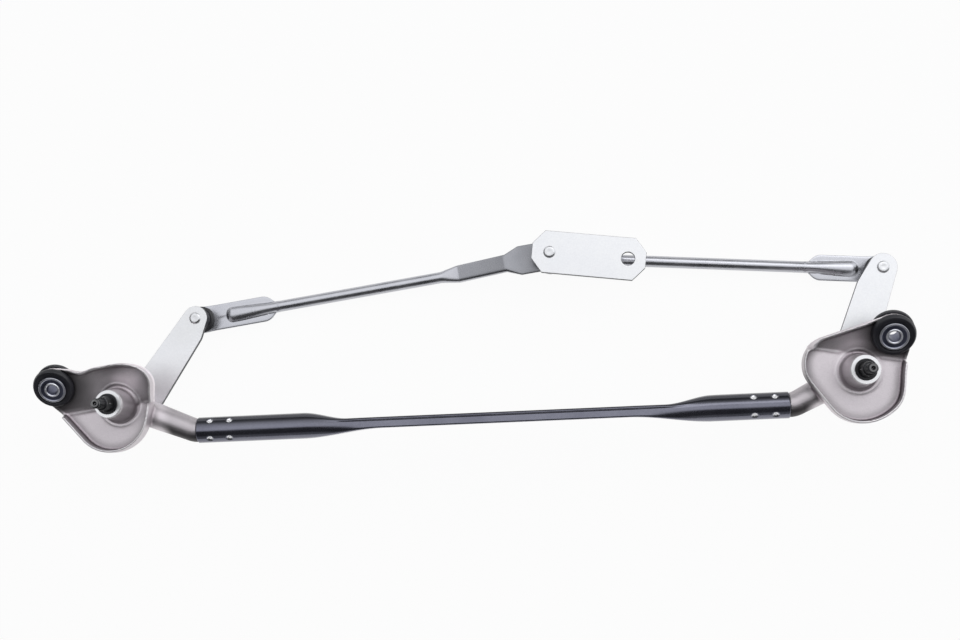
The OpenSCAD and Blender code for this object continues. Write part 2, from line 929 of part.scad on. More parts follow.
module left_rod() {
    narrow = left_paddle_len + paddle_taper;
    step_from = left_link_len - step_len;
    inner_from = left_link_len - inner_paddle_len;
    inner_side = inner_paddle_r - shoulder_r;
    color("Gray")
        translate([left_ball.x, left_ball.y, 0])
            rotate([0, 0, left_link_angle]) {
                translate([0, 0, paddle_z])
                    paddle(paddle_r, left_paddle_len, hole_r);
                translate([0, 0, rod_z])
                    bead(left_bead, narrow);
                translate([narrow - rod_lap, 0, rod_z])
                    rotate([0, 90, 0])
                        cylinder(d = rod_d, h = step_from - narrow + rod_lap);
                hull() {
                    slice(step_from - 0.6, rod_z, rod_d / 2 - 0.05, rod_d / 2 - 0.05);
                    slice(step_from + step_cone, rod_z + step_lift, step_r, step_thick[0]);
                }
                hull() {
                    slice(step_from + step_cone, rod_z + step_lift, step_r, step_thick[0]);
                    slice(inner_from - inner_flare, upper_rod_z - step_lift, step_r, step_thick[1]);
                }
                hull() {
                    slice(inner_from - inner_flare, upper_rod_z - step_lift, step_r, step_thick[1]);
                    translate([inner_from + 1, 0, upper_paddle_z + paddle_t / 2])
                        cube([1, 2 * inner_side, paddle_t - 0.1], center = true);
                }
                translate([0, 0, upper_paddle_z])
                    difference() {
                        linear_extrude(paddle_t)
                            polygon(belt([
                                [left_link_len, 0, inner_paddle_r],
                                [inner_from + shoulder_r, inner_side, shoulder_r],
                                [inner_from + shoulder_r, -inner_side, shoulder_r]]));
                        translate([left_link_len, 0, -1])
                            cylinder(r = hole_r, h = paddle_t + 2);
                    }
            }
}

module right_rod() {
    narrow = right_paddle_len + paddle_taper;
    color("Gray")
        translate([right_ball.x, right_ball.y, 0])
            rotate([0, 0, right_link_angle]) {
                translate([0, 0, paddle_z])
                    paddle(paddle_r, right_paddle_len, hole_r);
                translate([0, 0, rod_z])
                    bead(right_bead, narrow);
                translate([narrow - rod_lap, 0, rod_z])
                    rotate([0, 90, 0])
                        cylinder(d = rod_d, h = right_link_len - 2 * (narrow - rod_lap));
                translate([right_link_len, 0, 0])
                    rotate([0, 0, 180]) {
                        translate([0, 0, paddle_z])
                            paddle(cup_paddle_r, right_paddle_len, hole_r);
                        translate([0, 0, rod_z])
                            bead(right_bead, narrow);
                    }
            }
}

module motor_crank() {
    long = motor_crank_r / 2 + motor_crank_end;
    wide = motor_crank_w / 2;
    color("Gainsboro")
        translate([drive_stud.x, drive_stud.y, plate_low_z])
            rotate([0, 0, motor_crank_angle])
                difference() {
                    translate([motor_crank_r / 2, 0, 0])
                        linear_extrude(crank_t)
                            polygon([
                                [-long, -wide + motor_crank_cut.y],
                                [-long + motor_crank_cut.x, -wide],
                                [long - motor_crank_cut.x, -wide],
                                [long, -wide + motor_crank_cut.y],
                                [long, wide - motor_crank_cut.y],
                                [long - motor_crank_cut.x, wide],
                                [-long + motor_crank_cut.x, wide],
                                [-long, wide - motor_crank_cut.y]]);
                    translate([0, 0, -1])
                        cylinder(d = neck_d + 2 * press_gap, h = crank_t + 2);
                    translate([motor_crank_r, 0, -1])
                        cylinder(d = motor_shaft_d, h = crank_t + 2);
                }
}

module drive_stud_pin() {
    color("Silver")
        translate([drive_stud.x, drive_stud.y, 0]) {
            translate([0, 0, upper_ball_z])
                stud();
            translate([0, 0, ball_z]) {
                sphere(ball_r);
                cylinder(d = mid_neck_d, h = stack);
            }
        }
}

frame_tube();
left_housing();
right_housing();
left_upper_bush();
left_lower_bush();
right_upper_bush();
right_lower_bush();
left_seal();
right_seal();
left_grommet();
right_grommet();
left_sleeve();
right_sleeve();
left_spindle();
left_crank();
left_crank_stud();
left_top_washer();
left_clip();
left_low_washer();
right_spindle();
right_crank();
right_crank_stud();
right_top_washer();
right_clip();
right_low_washer();
left_rod();
left_outer_socket();
left_inner_socket();
right_rod();
right_outer_socket();
right_inner_socket();
motor_crank();
drive_stud_pin();
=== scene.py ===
import bpy
import math
from mathutils import Matrix, Vector


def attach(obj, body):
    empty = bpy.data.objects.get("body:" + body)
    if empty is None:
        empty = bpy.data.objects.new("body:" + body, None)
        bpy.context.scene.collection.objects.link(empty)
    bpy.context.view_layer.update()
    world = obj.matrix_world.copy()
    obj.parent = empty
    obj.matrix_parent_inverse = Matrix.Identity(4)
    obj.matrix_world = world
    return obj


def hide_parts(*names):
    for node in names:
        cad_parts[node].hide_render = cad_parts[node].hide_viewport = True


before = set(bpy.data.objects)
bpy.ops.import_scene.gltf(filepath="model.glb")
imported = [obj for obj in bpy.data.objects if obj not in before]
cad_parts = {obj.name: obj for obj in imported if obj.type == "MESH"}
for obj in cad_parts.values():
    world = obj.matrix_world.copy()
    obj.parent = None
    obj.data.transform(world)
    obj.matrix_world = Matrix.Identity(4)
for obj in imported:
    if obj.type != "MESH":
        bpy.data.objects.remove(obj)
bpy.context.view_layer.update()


# Frame tube: one length of round steel tube, pressed flat in the middle and painted black.
# Its round ends slide over the housing spigots and are staked there in two rows of marks.
# The glossy paint is scraped off in the marks, and painted shade darkens the lower side.
def new_piece(name, points, faces, body, sharp=35):
    """Makes a smooth shaded piece from points in millimetres and lets it ride on a body."""
    mesh = bpy.data.meshes.new(name)
    mesh.from_pydata([[c * 0.001 for c in p] for p in points], [], faces)
    mesh.validate()
    mesh.shade_smooth()
    mesh.set_sharp_from_angle(angle=math.radians(sharp))
    piece = bpy.data.objects.new(name, mesh)
    bpy.context.scene.collection.objects.link(piece)
    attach(piece, body)
    return piece


def new_finish(name, colour, metal, rough):
    """Starts a finish with its plain colour, metal and roughness on the shader."""
    finish = bpy.data.materials.new(name)
    finish.use_nodes = True
    shader = finish.node_tree.nodes["Principled BSDF"]
    shader.inputs["Base Color"].default_value = (*colour, 1)
    shader.inputs["Metallic"].default_value = metal
    shader.inputs["Roughness"].default_value = rough
    return finish


def grain(finish, size_mm, dark, light, bump_mm, rough_low, rough_high):
    """Gives a finish fine grain and broad clouds: colour between dark and light, matching bump and gloss."""
    cloud_mm = size_mm * 22
    nodes, links = finish.node_tree.nodes, finish.node_tree.links
    shader = nodes["Principled BSDF"]
    place = nodes.new("ShaderNodeTexCoord")
    fine = nodes.new("ShaderNodeTexNoise")
    fine.inputs["Scale"].default_value = 1000 / size_mm
    fine.inputs["Detail"].default_value = 4
    broad = nodes.new("ShaderNodeTexNoise")
    broad.inputs["Scale"].default_value = 1000 / cloud_mm
    broad.inputs["Detail"].default_value = 3
    both = nodes.new("ShaderNodeMath")
    both.operation = "MULTIPLY_ADD"
    both.inputs[1].default_value = 0.5
    ramp = nodes.new("ShaderNodeValToRGB")
    ramp.color_ramp.elements[0].position = 0.5
    ramp.color_ramp.elements[0].color = (*dark, 1)
    ramp.color_ramp.elements[1].position = 1.0
    ramp.color_ramp.elements[1].color = (*light, 1)
    gloss = nodes.new("ShaderNodeMapRange")
    gloss.inputs["From Min"].default_value = 0.3
    gloss.inputs["From Max"].default_value = 0.7
    gloss.inputs["To Min"].default_value = rough_low
    gloss.inputs["To Max"].default_value = rough_high
    bump = nodes.new("ShaderNodeBump")
    bump.inputs["Strength"].default_value = 0.6
    bump.inputs["Distance"].default_value = bump_mm * 0.001
    links.new(place.outputs["Object"], fine.inputs["Vector"])
    links.new(place.outputs["Object"], broad.inputs["Vector"])
    links.new(fine.outputs["Fac"], both.inputs[0])
    links.new(broad.outputs["Fac"], both.inputs[2])
    links.new(both.outputs["Value"], ramp.inputs["Fac"])
    links.new(ramp.outputs["Color"], shader.inputs["Base Color"])
    links.new(broad.outputs["Fac"], gloss.inputs["Value"])
    links.new(gloss.outputs["Result"], shader.inputs["Roughness"])
    links.new(fine.outputs["Fac"], bump.inputs["Height"])
    links.new(bump.outputs["Normal"], shader.inputs["Normal"])


def new_layer(finish, blend="MIX"):
    """Lays a new colour over a finish; the colour so far comes in at A, and the new one goes in at B."""
    tree = finish.node_tree
    base = tree.nodes["Principled BSDF"].inputs["Base Color"]
    layer = tree.nodes.new("ShaderNodeMix")
    layer.data_type = "RGBA"
    layer.blend_type = blend
    layer.inputs["Factor"].default_value = 1.0
    tree.links.new(base.links[0].from_socket, layer.inputs["A"])
    tree.links.new(layer.outputs["Result"], base)
    return layer


def shades(finish, name, colour=None):
    """Tints a finish by values stored on the points of a piece: toward a colour, or as a plain factor."""
    tree = finish.node_tree
    stored = tree.nodes.new("ShaderNodeAttribute")
    stored.attribute_name = name
    layer = new_layer(finish, "MIX" if colour else "MULTIPLY")
    if colour:
        layer.inputs["B"].default_value = (*colour, 1)
    tree.links.new(stored.outputs["Fac"], layer.inputs["Factor" if colour else "B"])


def store(piece, name, values):
    """Stores one value for each point of a piece."""
    layer = piece.data.attributes.new(name, "FLOAT", "POINT")
    layer.data.foreach_set("value", values)


def ease(a, b, x):
    """Smooth step from 0 at a to 1 at b."""
    t = min(1, max(0, (x - a) / (b - a)))
    return t * t * (3 - 2 * t)


def between(a, b, share):
    """Value that lies a share of the way from a to b."""
    return a + (b - a) * share


tube_left, tube_right, tube_y, tube_z = 61.5, 537.5, -23.5, -52.0
tube_radius, tube_wall, tube_flat = 10.5, 2.0, 8.8
tube_around, end_round, bore_seen = 160, 0.5, 20
flat_from, flat_to, rear_run, front_run = 149, 479, 38, 66
lip_from, lip_r, step_to, step_deep = 2.7, 1.7, 1.5, 1.1
nose_from, nose_r, face_slope = -3.1, 1.3, 0.1
stake_rows = [tube_left + 11.3, tube_left + 27.6, tube_right - 11.3, tube_right - 27.6]
stake_turns = (0.125, 0.375, 0.625, 0.875)
stake_floor, stake_rim, stake_deep = 1.5, 2.9, 1.25


def pressed(x, change):
    """Share of the press along the tube: 0 on the round ends, 1 on the flat."""
    return ease(flat_from, flat_from + change, x) * (1 - ease(flat_to - change, flat_to, x))


def tube_half(x, side):
    """Half thickness of the pressed tube: the rear face is pressed in sooner than the front one."""
    return between(tube_radius, tube_flat / 2, pressed(x, rear_run if side > 0 else front_run))


def set_back(y):
    """How far the front of the flat stands back: a proud lip along the rear, a step, then an even face."""
    if y > lip_from:
        return lip_r - math.sqrt(max(0, lip_r ** 2 - (y - lip_from) ** 2))
    face = step_deep * (1 - ease(step_to, lip_from, y)) - face_slope * max(0, step_to - max(y, nose_from))
    if y > nose_from:
        return face
    return face + nose_r - math.sqrt(max(0, nose_r ** 2 - (y - nose_from) ** 2))


def stake(x, turn):
    """Depth share of the nearest stake mark; turn is the share of the way round the tube."""
    near = min(math.hypot(x - row, (turn - spot) * 2 * math.pi * tube_radius)
               for row in stake_rows for spot in stake_turns)
    return 1 - ease(stake_floor, stake_rim, near)


def tube_ring(x):
    """One ring of the pressed tube: the way round stays as long as on the round tube."""
    r = (tube_half(x, 1) + tube_half(x, -1)) / 2
    flat = math.pi * (tube_radius - r)
    ring = []
    for i in range(tube_around):
        s = i / tube_around * 2 * math.pi * tube_radius
        side = 1 if s < math.pi * tube_radius else -1
        s = s if side > 0 else 2 * math.pi * tube_radius - s
        quarter = math.pi * r / 2
        if s < quarter:
            y, z = r * math.sin(s / r), flat / 2 + r * math.cos(s / r)
            square = flat / 2 + r - set_back(side * y * tube_flat / 2 / r)
            z += (square - z) * pressed(x, front_run)
        elif s < quarter + flat:
            y, z = r, flat / 2 - (s - quarter)
        else:
            turn = (s - flat) / r
            y, z = r * math.sin(turn), -flat / 2 + r * math.cos(turn)
        shrink = 1 - stake_deep * stake(x, i / tube_around) / math.hypot(y, z)
        ring.append((x, tube_y + side * y * shrink * tube_half(x, side) / r, tube_z + z * shrink))
    return ring


mark_step, mark_steps = 0.62, 52
tube_steps = [tube_left + end_round + mark_step * i for i in range(mark_steps)]
tube_steps += [100 + 10 * i for i in range(6)] + [152 + 2.5 * i for i in range(28)]
tube_steps += [230 + 20 * i for i in range(9)] + [408 + 2.5 * i for i in range(28)]
tube_steps += [482 + 8 * i for i in range(3)]
tube_steps += [tube_right - end_round - mark_step * i for i in range(mark_steps - 1, -1, -1)]


def tube_lip(x, r):
    """Plain round ring for the cut ends of the tube."""
    return [(x, tube_y + r * math.sin(2 * math.pi * i / tube_around),
             tube_z + r * math.cos(2 * math.pi * i / tube_around)) for i in range(tube_around)]


tube_bore, tube_mouth = tube_radius - tube_wall, tube_radius - end_round
tube_rings = [tube_lip(tube_left + bore_seen, tube_bore), tube_lip(tube_left, tube_bore)]
tube_rings += [tube_lip(tube_left, tube_mouth)] + [tube_ring(x) for x in tube_steps]
tube_rings += [tube_lip(tube_right, tube_mouth), tube_lip(tube_right, tube_bore)]
tube_rings += [tube_lip(tube_right - bore_seen, tube_bore)]


def ring_faces(count, around):
    """Faces that join a row of rings into a skin."""
    return [(a * around + i, a * around + (i + 1) % around,
             (a + 1) * around + (i + 1) % around, (a + 1) * around + i)
            for a in range(count - 1) for i in range(around)]


tube = new_piece("tube_skin", [p for ring in tube_rings for p in ring],
                 ring_faces(len(tube_rings), tube_around), "frame", 50)
store(tube, "bare_and_highlight", [ease(0.45, 0.6, stake(p.co.x * 1000, p.index % tube_around / tube_around))
                     for p in tube.data.vertices])
# painted shade: the tube gets darker where its faces point downward
store(tube, "depth", [1 - 0.68 * ease(0.05, 0.6, -p.normal.y) for p in tube.data.vertices])
black_paint = new_finish("black_paint", (0.15, 0.152, 0.19), 0.9, 0.2)
grain(black_paint, 1.6, (0.125, 0.127, 0.165), (0.18, 0.182, 0.225), 0.012, 0.15, 0.25)
shades(black_paint, "depth")
shades(black_paint, "bare_and_highlight", (0.9, 0.9, 0.92))
paint_shader = black_paint.node_tree.nodes["Principled BSDF"]
paint_shader.inputs["Coat Weight"].default_value = 0.5
paint_shader.inputs["Coat Roughness"].default_value = 0.08
tube.data.materials.append(black_paint)
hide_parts("frame_tube")


# Pivot housings: die-cast aluminium trays with a spindle boss, a folded ear and an arm
# that carries the tube. The cast edges are soft and the skin is matt with a fine sand grain.
spindle_pitch, web_level, fold_angle = 590, -40, 28


def fold_axes(crease, angle, shift):
    """Place, line, slope and normal of the part beyond a crease, which is turned up by the fold angle."""
    turn = Matrix.Rotation(math.radians(angle), 3, "Z") @ Matrix.Rotation(math.radians(fold_angle), 3, "X")
    return Vector((crease[0] + shift, crease[1], web_level)), turn.col[0], turn.col[1], turn.col[2]


def bump(x, middle, width):
    """Smooth hill of height 1 round a middle."""
    return math.exp(-((x - middle) / width) ** 2)


def ear_place(ear, crease, angle, shift):
    """Where an ear sits on the folded part of its housing; the ear is given as it lies before the fold."""
    place, line, slope, normal = fold_axes(crease, angle, shift)
    flat = Matrix.Rotation(math.radians(-angle), 2) @ Vector((ear[0] - crease[0], ear[1] - crease[1]))
    centre = place + line * flat.x + slope * flat.y
    return Matrix.Translation(centre) @ Matrix((line, slope, normal)).transposed().to_4x4()


creases = {"left": ((0, -1), 6.6, 0), "right": ((0, 13.1), -10.5, spindle_pitch)}
ear_spots = {"left": (-51.3, 19.3), "right": (26.5, 29.3)}
ears = {side: ear_place(spot, *creases[side]) for side, spot in ear_spots.items()}
waists = {"left": [(-24, 9, -3.6, 20, 34), (9, 11, 2.0, 20, 34)], "right": []}
bellies = {"left": [], "right": [(-34, 26, 3.0)]}
ring_r, ring_half, ring_rise = 17, 0.8, 0.6
ridge_half, ridge_rise, rim_run = 0.9, 0.5, 9
ring_light, fold_light, ridge_light = {"left": 0.45, "right": 0.1}, {"left": 0.35, "right": 0}, 0.6
ear_dark, ear_edge_light, wall_dark, arm_dark, arm_under_dark = 0.8, 0.35, 0.5, 0.28, 0.62


def cast_skin(side):
    """Fine skin of a housing, with the rim upright on the fold, a ridge on the crease, a ring round the boss
    and the waist or belly of its outline. Its points also store painted light and shade for the finish."""
    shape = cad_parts[side + "_housing"]
    fine = shape.modifiers.new("fine_skin", "REMESH")
    fine.mode = "VOXEL"
    fine.voxel_size = 0.0008
    mesh = bpy.data.meshes.new_from_object(shape.evaluated_get(bpy.context.evaluated_depsgraph_get()))
    shape.modifiers.remove(fine)
    crease, angle, shift = creases[side]
    place, line, slope, normal = fold_axes(crease, angle, shift)
    up = Vector((0, 0, 1))
    ear = ears[side].translation
    arm = 1 if side == "left" else -1
    points, tones = [], []
    for vertex in mesh.vertices:
        p = vertex.co * 1000
        out, rise, aside = (p - place).dot(slope), (p - place).dot(normal), (p - place).dot(line)
        level, axis = p.z - web_level, math.hypot(p.x - shift, p.y)
        from_boss = Vector((p.x - shift, p.y, 0)).normalized()
        clear = ease(ring_r, ring_r + 5, axis)
        flat_out = Vector((-line.y, line.x, 0)).dot(p - place)
        move = Vector()
        if rise > 0 and flat_out > 0:
            move += (up - normal) * rise * ease(0, rim_run, out) * clear
        on_web = bump(rise if flat_out > 0 else level, 0, ridge_half)
        ridge = on_web * bump(flat_out, 0, ridge_half) * clear
        ring = on_web * bump(axis, ring_r, ring_half) * (axis > ring_r - 3)
        move += up * (ridge_rise * ridge + ring_rise * ring)
        for middle, width, push, inner, outer in waists[side]:
            move += slope * push * bump(aside, middle, width) * ease(inner, outer, out)
        turn = math.degrees(math.atan2(p.y, p.x - shift))
        for middle, width, push in bellies[side]:
            move += from_boss * push * bump(turn, middle, width) * ease(18, 29, axis)
        points.append(p + move)

        # Painted light and shade: a painted shadow round the ear and painted shade on the inner walls; the
        # arm darker, with painted shade on its underside; painted highlights on the ear's edge, the ridge and
        # the ring, and painted light on the left fold toward the boss.
        beyond = ease(0, 5, flat_out) * (1 - ease(0.8, 2.5, rise))
        facing, from_ear = vertex.normal.dot(normal), (p - ear).length
        shade = 1 - ear_dark * (1 - ease(14, 42, from_ear)) * beyond * ease(0.2, 0.6, facing)
        shade *= 1 + ear_edge_light * ease(0.5, 0.9, 1 - abs(facing)) * (1 - ease(18, 24, from_ear))
        inward = -vertex.normal.dot(from_boss)
        shade *= 1 - wall_dark * ease(0.3, 0.75, inward) * ease(22, 26, axis) * (level > 0.3)
        shade *= 1 + fold_light[side] * ease(8, 26, arm * aside) * beyond
        under = ease(0.05, 0.6, -vertex.normal.y)
        shade *= 1 - (arm_dark + arm_under_dark * under) * ease(31, 42, arm * (p.x - shift))
        tones.append(shade * (1 + max(ridge_light * ridge, ring_light[side] * ring)))
    faces = [tuple(face.vertices) for face in mesh.polygons]
    bpy.data.meshes.remove(mesh)
    casting = new_piece(side + "_housing_casting", points, faces, "frame", 180)
    store(casting, "shade", tones)
    return casting


def hollow_shade_edge_light(finish, low, high, hollow, edge):
    """Paints shade into the hollows of a finish and a highlight on its standing edges; low and high say how
    sharp they have to be.
    """
    tree = finish.node_tree
    shape = tree.nodes.new("ShaderNodeNewGeometry")
    tint = tree.nodes.new("ShaderNodeValToRGB")
    tint.color_ramp.elements[0].position = low
    tint.color_ramp.elements[0].color = (*hollow, 1)
    tint.color_ramp.elements[1].position = high
    tint.color_ramp.elements[1].color = (*edge, 1)
    middle = tint.color_ramp.elements.new(0.5)
    middle.color = (0.5, 0.5, 0.5, 1)
    layer = new_layer(finish, "OVERLAY")
    tree.links.new(shape.outputs["Pointiness"], tint.inputs["Fac"])
    tree.links.new(tint.outputs["Color"], layer.inputs["B"])


def corner_shade(finish, reach_mm, darkest):
    """Paints shade into a finish in corners and under overhangs, where little of the open sky is seen."""
    tree = finish.node_tree
    open_sky = tree.nodes.new("ShaderNodeAmbientOcclusion")
    open_sky.samples = 8
    open_sky.inputs["Distance"].default_value = reach_mm * 0.001
    share = tree.nodes.new("ShaderNodeMapRange")
    share.inputs["From Min"].default_value = 0.35
    share.inputs["From Max"].default_value = 0.9
    share.inputs["To Min"].default_value = darkest
    layer = new_layer(finish, "MULTIPLY")
    tree.links.new(open_sky.outputs["AO"], share.inputs["Value"])
    tree.links.new(share.outputs["Result"], layer.inputs["B"])


die_cast = new_finish("die_cast", (0.70, 0.65, 0.68), 0.8, 0.42)
grain(die_cast, 0.9, (0.63, 0.585, 0.612), (0.78, 0.73, 0.76), 0.10, 0.36, 0.5)
# painted shade in the casting's hollows and painted highlights on its standing edges
hollow_shade_edge_light(die_cast, 0.44, 0.56, (0.12, 0.11, 0.12), (0.74, 0.74, 0.74))
# painted shade in the casting's corners and under its overhangs
corner_shade(die_cast, 10, 0.16)
# painted light and shade that cast_skin stores on the housing points
shades(die_cast, "shade")
for side in ("left", "right"):
    casting = cast_skin(side)
    soft = casting.modifiers.new("cast_edges", "SMOOTH")
    soft.factor = 0.5
    soft.iterations = 5
    casting.data.materials.append(die_cast)
    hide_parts(side + "_housing")


# Bearing bushes and seal rings: sintered bronze bushes pressed into each boss, with a
# rubber ring in the pocket above the upper bush. The washers cover them.
def dress(node, finish):
    """Gives a CAD node its finish in place of the plain one."""
    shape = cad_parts[node]
    shape.data.materials.clear()
    shape.data.materials.append(finish)
    return shape


sintered = new_finish("sintered_bronze", (0.35, 0.22, 0.11), 0.9, 0.45)
grain(sintered, 0.5, (0.28, 0.17, 0.08), (0.42, 0.28, 0.15), 0.03, 0.38, 0.55)
rubber = new_finish("black_rubber", (0.012, 0.012, 0.016), 0.0, 0.45)
grain(rubber, 0.7, (0.010, 0.010, 0.014), (0.022, 0.022, 0.028), 0.03, 0.36, 0.52)
for side in ("left", "right"):
    dress(side + "_upper_bush", sintered)
    dress(side + "_lower_bush", sintered)
    dress(side + "_seal", rubber)


# Grommets: moulded black rubber rings buttoned into the housing ears, with a full round
# flange on the front and on the back. They keep the motor's hum out of the car body.
def soften(loop, radius, steps=4, closed=True):
    """Rounds the corners of an outline of (radius, height) points."""
    out = []
    for i, p in enumerate(loop):
        if not closed and i in (0, len(loop) - 1):
            out.append(p)
            continue
        a, b = Vector(loop[i - 1]), Vector(loop[(i + 1) % len(loop)])
        p = Vector(p)
        cut = min(radius, 0.45 * (a - p).length, 0.45 * (b - p).length)
        start, end = p + (a - p).normalized() * cut, p + (b - p).normalized() * cut
        for k in range(steps + 1):
            t = k / steps
            out.append(tuple(start * (1 - t) ** 2 + p * 2 * t * (1 - t) + end * t * t))
    return out


def turned(name, outline, body, place=Matrix(), closed=True, around=72, sharp=35):
    """Turns an outline of (radius, height) points about its axis and puts it in place."""
    turns = [2 * math.pi * i / around for i in range(around)]
    points = [place @ Vector((r * math.cos(a), r * math.sin(a), z)) for r, z in outline for a in turns]
    faces = ring_faces(len(outline), around)
    last = (len(outline) - 1) * around
    if closed:
        faces += [(last + i, last + (i + 1) % around, (i + 1) % around, i) for i in range(around)]
    else:
        faces += [tuple(range(around - 1, -1, -1)), tuple(range(last, last + around))]
    return new_piece(name, points, faces, body, sharp)


grommet_outline = soften([(6.5, -8.5), (16.7, -8.5), (16.7, -4.5), (10.95, -4.5), (10.95, 0), (16.7, 0),
                          (16.7, 1.9), (15.4, 4.5), (13.6, 4.5), (12.9, 4.1), (6.5, 4.1)], 0.9, 5)
for side, place in ears.items():
    grommet = turned(side + "_grommet_rubber", grommet_outline, "frame", place, sharp=60)
    grommet.data.materials.append(rubber)
    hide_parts(side + "_grommet")


# Fixing sleeves: flanged steel tubes through the grommets, with a dark blue-grey plating.
# The bolt clamps the sleeve, so the rubber isn't crushed; the flange is slightly dished.
dark_plating = new_finish("dark_plating", (0.11, 0.117, 0.17), 0.85, 0.3)
grain(dark_plating, 0.8, (0.075, 0.08, 0.12), (0.16, 0.17, 0.24), 0.03, 0.24, 0.4)
# painted highlight rings on the rim and bore edges, which are also worn through the plating
shades(dark_plating, "bare_and_highlight", (0.85, 0.86, 0.9))
sleeve_outline = soften([(4.25, -9.0), (6.45, -9.0), (6.45, 4.5), (11, 4.5), (11, 5.7), (10.6, 6.1),
                         (9.8, 6.1), (8.9, 5.4), (6.3, 5.4), (5.8, 6.1), (5.2, 6.1), (4.25, 5.2)], 0.25, 3)
sleeve_around, lit_rim_from, bore_rim_r, bore_worn_and_lit, rim_worn_and_lit = 72, 5.6, 6.2, 0.9, 0.5
worn_and_lit = [(bore_worn_and_lit if r < bore_rim_r else rim_worn_and_lit) * (z > lit_rim_from) for r, z in sleeve_outline]
for side, place in ears.items():
    sleeve = turned(side + "_fixing_sleeve", sleeve_outline, "frame", place, around=sleeve_around, sharp=50)
    store(sleeve, "bare_and_highlight", [value for value in worn_and_lit for _ in range(sleeve_around)])
    sleeve.data.materials.append(dark_plating)
    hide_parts(side + "_sleeve")


# Spindles: black phosphated steel shafts with a shoulder for the crank at the lower end.
# The arm seat has rolled serrations, and a cut M8 thread with a chamfer ends the shaft.
def worn_edge_glint(finish, low, high, colour):
    """Paints a highlight on edges that stand out, as lighter and less metallic worn metal; low and high say
    how sharp it has to be.
    """
    tree = finish.node_tree
    shader = tree.nodes["Principled BSDF"]
    shape = tree.nodes.new("ShaderNodeNewGeometry")
    worn = tree.nodes.new("ShaderNodeMapRange")
    worn.inputs["From Min"].default_value = low
    worn.inputs["From Max"].default_value = high
    matt = tree.nodes.new("ShaderNodeMapRange")
    matt.inputs["To Min"].default_value = shader.inputs["Metallic"].default_value
    matt.inputs["To Max"].default_value = 0.2
    layer = new_layer(finish)
    layer.inputs["B"].default_value = (*colour, 1)
    tree.links.new(shape.outputs["Pointiness"], worn.inputs["Value"])
    tree.links.new(worn.outputs["Result"], layer.inputs["Factor"])
    tree.links.new(worn.outputs["Result"], matt.inputs["Value"])
    tree.links.new(matt.outputs["Result"], shader.inputs["Metallic"])


spindle_around, serrations, thread_pitch = 160, 40, 1.25
seat_low, seat_high, seat_low_r, seat_high_r, seat_steps = -10.4, -0.5, 6.25, 5.25, 12
serration_deep, serration_end = 0.42, 0.1
thread_low, thread_high, thread_r, thread_deep, thread_steps = 0.9, 11.1, 4.0, 0.62, 65
shaft_outline = [(0.05, -86.3), (5.2, -86.3), (6.6, -85.8), (7.4, -85), (7.5, -84.1), (5, -84.1), (5, -80.1),
                 (9.7, -80.1), (10, -79.8), (10, -79.4), (9.7, -79.1), (6, -79.1), (6, -12.5), (5.5, -12.5),
                 (5.5, -11.2), (6, -11.2), (6, -10.7)]
neck_outline = [(4.6, 0), (3.5, 0.2), (3.45, 0.7)]
tip_outline = [(3.3, 11.6), (2.9, 12), (1.7, 12), (1.2, 11.4), (1.1, 10.2), (0.05, 9.6)]


def spindle_rows():
    """Rows of (radius, height, serration depth, thread depth) up the spindle."""
    rows = [(r, z, 0, 0) for r, z in shaft_outline]
    for k in range(seat_steps + 1):
        t = k / seat_steps
        deep = serration_deep if 0 < k < seat_steps else serration_end
        rows.append((between(seat_low_r, seat_high_r, t), between(seat_low, seat_high, t), deep, 0))
    rows += [(r, z, 0, 0) for r, z in neck_outline]
    for k in range(thread_steps + 1):
        z = between(thread_low, thread_high, k / thread_steps)
        rows.append((thread_r, z, 0, thread_deep * ease(0, 4, k)))
    return rows + [(r, z, 0, 0) for r, z in tip_outline]


def saw(x):
    """Triangle wave from 0 to 1."""
    x = x % 1
    return 2 * x if x < 0.5 else 2 - 2 * x


black_steel = new_finish("black_phosphate", (0.012, 0.012, 0.014), 0.7, 0.32)
grain(black_steel, 0.4, (0.009, 0.009, 0.011), (0.03, 0.03, 0.034), 0.02, 0.24, 0.4)
# painted highlights on the thread crests, serrations and tip chamfer, shown as worn metal
worn_edge_glint(black_steel, 0.54, 0.62, (0.6, 0.6, 0.6))
for side, spindle_x in (("left", 0), ("right", spindle_pitch)):
    points = []
    for r, z, serration, thread in spindle_rows():
        for i in range(spindle_around):
            a = i / spindle_around
            cut = r - serration * saw(a * serrations) - thread * saw(z / thread_pitch - a)
            points.append((spindle_x + cut * math.cos(2 * math.pi * a), cut * math.sin(2 * math.pi * a), z))
    rows = len(points) // spindle_around
    faces = ring_faces(rows, spindle_around)
    top = len(points) - spindle_around
    faces += [tuple(range(spindle_around - 1, -1, -1)), tuple(range(top, len(points)))]
    shaft = new_piece(side + "_spindle_shaft", points, faces, side + "_rocker", 30)
    shaft.data.materials.append(black_steel)
    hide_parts(side + "_spindle")


# Washers and retaining rings: a bright turned thrust washer on each boss, held down by a
# black spring ring in the spindle groove, and a thinner washer under the boss.
bright_turned = new_finish("bright_turned", (0.80, 0.80, 0.81), 0.9, 0.3)
grain(bright_turned, 0.6, (0.74, 0.74, 0.75), (0.84, 0.84, 0.85), 0.01, 0.24, 0.36)
spring_steel = new_finish("black_spring_steel", (0.012, 0.012, 0.014), 0.5, 0.34)
grain(spring_steel, 0.5, (0.009, 0.009, 0.011), (0.022, 0.022, 0.025), 0.02, 0.26, 0.42)


